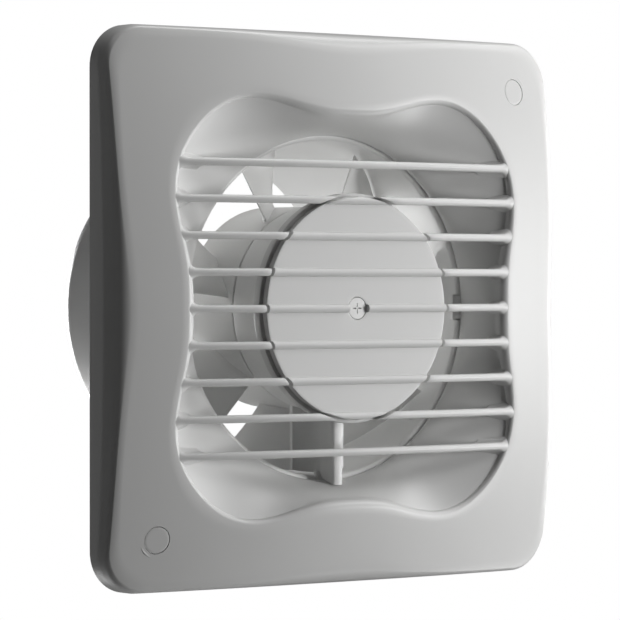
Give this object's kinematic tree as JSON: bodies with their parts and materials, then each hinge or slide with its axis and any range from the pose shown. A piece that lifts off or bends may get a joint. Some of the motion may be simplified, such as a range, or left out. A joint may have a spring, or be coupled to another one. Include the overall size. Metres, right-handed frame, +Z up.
{
  "type": "bathroom extractor fan",
  "caption": "Square white axial extractor fan with a domed cover, slim horizontal louvre bars round a plain centre disc, and a round duct spigot behind.",
  "frame": {"origin": "where the fan's axis meets the wall plane, at the back of the wall plate", "axes": "+Z up; the front faces -Y; the duct spigot points along +Y, which is the fan's axis"},
  "size_m": [0.16, 0.0816, 0.16],
  "materials": {
    "cover": "white moulded ABS, satin",
    "fan_plastic": "white moulded ABS",
    "screw_steel": "zinc plated",
    "screw_white": "steel, painted white",
    "electrical_steel": "laminated",
    "copper": "enamelled copper wire",
    "bronze": "sintered",
    "cast_aluminium": "as cast",
    "nylon": "natural",
    "grommet_rubber": "matt",
    "seal_foam": "closed-cell foam"
  },
  "bodies": {
    "fan_body": {"front_cover": "cover", "louvre_grille": "cover", "louvre_bar_top": "cover", "louvre_bar_bottom": "cover", "centre_disc": "cover", "screw_cap_upper": "cover", "screw_cap_lower": "cover", "centre_screw": "screw_white", "cover_screw_upper": "screw_steel", "cover_screw_lower": "screw_steel", "rear_housing": "fan_plastic", "wall_seal": "seal_foam", "motor_bracket": "fan_plastic", "bracket_screw_right": "screw_steel", "bracket_screw_left": "screw_steel", "bracket_screw_bottom": "screw_steel", "stator_core": "electrical_steel", "coil_upper": "copper", "coil_lower": "copper", "bobbin_upper": "nylon", "bobbin_lower": "nylon", "shading_ring_upper": "copper", "shading_ring_lower": "copper", "bearing_bridge_front": "cast_aluminium", "bearing_bridge_rear": "cast_aluminium", "bearing_bush_front": "bronze", "bearing_bush_rear": "bronze", "motor_screw_left": "screw_steel", "motor_screw_right": "screw_steel", "terminal_block": "nylon", "terminal_screw_left": "screw_steel", "terminal_screw_right": "screw_steel", "cable_clamp": "nylon", "clamp_screw_upper": "screw_steel", "clamp_screw_lower": "screw_steel", "cable_grommet": "grommet_rubber"},
    "rotor": {"rotor_core": "electrical_steel", "rotor_end_ring_front": "cast_aluminium", "rotor_end_ring_rear": "cast_aluminium", "motor_shaft": "screw_steel", "impeller": "fan_plastic", "impeller_clip": "screw_steel"}
  },
  "joints": [
    {"name": "rotor_spin", "type": "hinge", "parent": "fan_body", "child": "rotor", "pos_m": [0, 0, 0], "axis": [0, 1, 0], "continuous": true}
  ]
}
